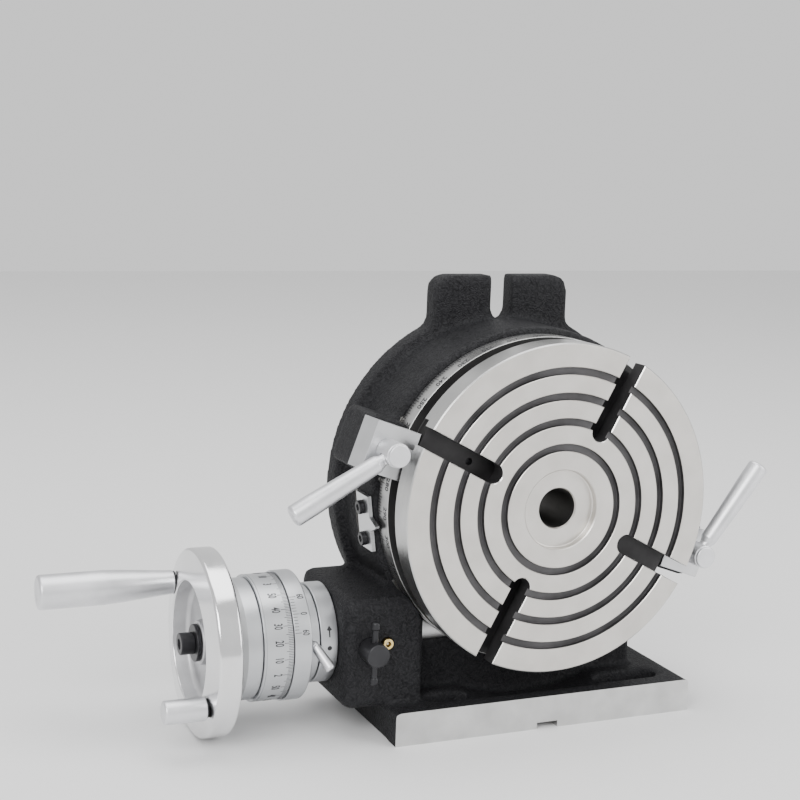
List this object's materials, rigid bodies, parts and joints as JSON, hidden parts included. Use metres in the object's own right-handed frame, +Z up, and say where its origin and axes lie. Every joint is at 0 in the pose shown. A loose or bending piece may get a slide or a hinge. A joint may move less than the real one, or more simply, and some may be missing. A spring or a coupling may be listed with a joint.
{
  "type": "rotary table",
  "caption": "Upright rotary table with a worm drive, slotted round face, graduated dial, handwheel and two rim clamps on a cast foot.",
  "frame": {"origin": "under the middle of the whole object's box, on the plane the foot stands on", "axes": "+X along the worm shaft away from the handwheel, +Y from the table face into the machine, +Z up"},
  "size_m": [0.4418, 0.1164, 0.268],
  "materials": {
    "black_paint": "black wrinkle paint on cast iron",
    "ground_steel": "turned and ground",
    "satin_chrome": "satin plated",
    "aluminium": "polished rim, satin inside",
    "black_oxide": "black oxide",
    "brass": "turned brass",
    "bronze": "machined bronze",
    "steel": "machined steel"
  },
  "bodies": {
    "base": {"base_casting": "black_paint", "rear_cover": "black_paint", "cover_screw_1": "black_oxide", "cover_screw_2": "black_oxide", "cover_screw_3": "black_oxide", "spindle_bush": "bronze", "index_pointer": "satin_chrome", "pointer_screw_1": "black_oxide", "pointer_screw_2": "black_oxide", "left_clamp_stud": "steel", "right_clamp_stud": "steel", "oiler_body": "brass", "mark_ring": "satin_chrome"},
    "table": {"rotary_table": "ground_steel", "worm_wheel": "bronze", "wheel_screw_1": "black_oxide", "wheel_screw_2": "black_oxide", "wheel_screw_3": "black_oxide", "spindle_nut": "steel"},
    "sleeve": {"eccentric_sleeve": "satin_chrome", "vernier_ring": "satin_chrome", "sleeve_lever": "satin_chrome", "worm_bush_inner": "bronze", "worm_bush_outer": "bronze"},
    "worm": {"worm_shaft": "steel", "thrust_nut": "steel", "dial_collar": "aluminium", "handwheel": "aluminium", "handwheel_key": "steel", "hub_washer": "black_oxide", "hub_screw": "black_oxide", "crank_pin": "black_oxide", "knob_pin": "black_oxide"},
    "dial": {"dial_ring": "satin_chrome"},
    "handle": {"crank_handle": "satin_chrome"},
    "knob": {"small_knob": "satin_chrome"},
    "left_lever": {"left_clamp_lever": "satin_chrome"},
    "left_jaw": {"left_clamp_jaw": "satin_chrome"},
    "right_lever": {"right_clamp_lever": "satin_chrome"},
    "right_jaw": {"right_clamp_jaw": "satin_chrome"},
    "lock": {"lock_screw": "black_oxide"},
    "bar": {"lock_bar": "black_oxide"},
    "oil_ball": {"oiler_ball": "steel"}
  },
  "joints": [
    {"name": "table_spin", "type": "hinge", "parent": "base", "child": "table", "pos_m": [0.06967, -0.05825, 0.137], "axis": [0, 1, 0], "continuous": true},
    {"name": "eccentric_swing", "type": "hinge", "parent": "base", "child": "sleeve", "pos_m": [-0.05733, 0.00675, 0.056], "axis": [1, 0, 0], "range_deg": [0, 60]},
    {"name": "worm_spin", "type": "hinge", "parent": "sleeve", "child": "worm", "pos_m": [-0.05733, 0.00275, 0.056], "axis": [1, 0, 0], "continuous": true},
    {"name": "dial_zero", "type": "hinge", "parent": "worm", "child": "dial", "pos_m": [-0.08763, 0.00275, 0.056], "axis": [1, 0, 0], "continuous": true},
    {"name": "crank_handle_spin", "type": "hinge", "parent": "worm", "child": "handle", "pos_m": [-0.13993, 0.03869, 0.08308], "axis": [1, 0, 0], "continuous": true},
    {"name": "small_knob_spin", "type": "hinge", "parent": "worm", "child": "knob", "pos_m": [-0.13993, -0.03319, 0.02892], "axis": [1, 0, 0], "continuous": true},
    {"name": "left_clamp_turn", "type": "hinge", "parent": "base", "child": "left_lever", "pos_m": [-0.03544, -0.04835, 0.17422], "axis": [0, 1, 0], "range_deg": [-45, 20]},
    {"name": "left_jaw_slide", "type": "slide", "parent": "base", "child": "left_jaw", "axis": [0, 1, 0], "range_m": [-0.0002, 0.0001]},
    {"name": "right_clamp_turn", "type": "hinge", "parent": "base", "child": "right_lever", "pos_m": [0.17477, -0.04835, 0.09978], "axis": [0, 1, 0], "range_deg": [-30, 20]},
    {"name": "right_jaw_slide", "type": "slide", "parent": "base", "child": "right_jaw", "axis": [0, 1, 0], "range_m": [-0.0002, 0.0001]},
    {"name": "lock_screw_turn", "type": "hinge", "parent": "base", "child": "lock", "pos_m": [-0.04233, -0.03825, 0.056], "axis": [0, 1, 0], "range_deg": [-180, 45]},
    {"name": "lock_bar_slide", "type": "slide", "parent": "lock", "child": "bar", "axis": [0, 0, 1], "range_m": [-0.0068, 0.0068]},
    {"name": "oiler_ball_press", "type": "slide", "parent": "base", "child": "oil_ball", "axis": [0, 1, 0], "range_m": [0, 0.0006], "stiffness_N_per_m": 200}
  ],
  "couplings": [
    {"joint": "worm_spin", "follows": "table_spin", "ratio": 90},
    {"joint": "left_jaw_slide", "follows": "left_clamp_turn", "m_per_rad": 0.000199},
    {"joint": "right_jaw_slide", "follows": "right_clamp_turn", "m_per_rad": 0.000199}
  ]
}
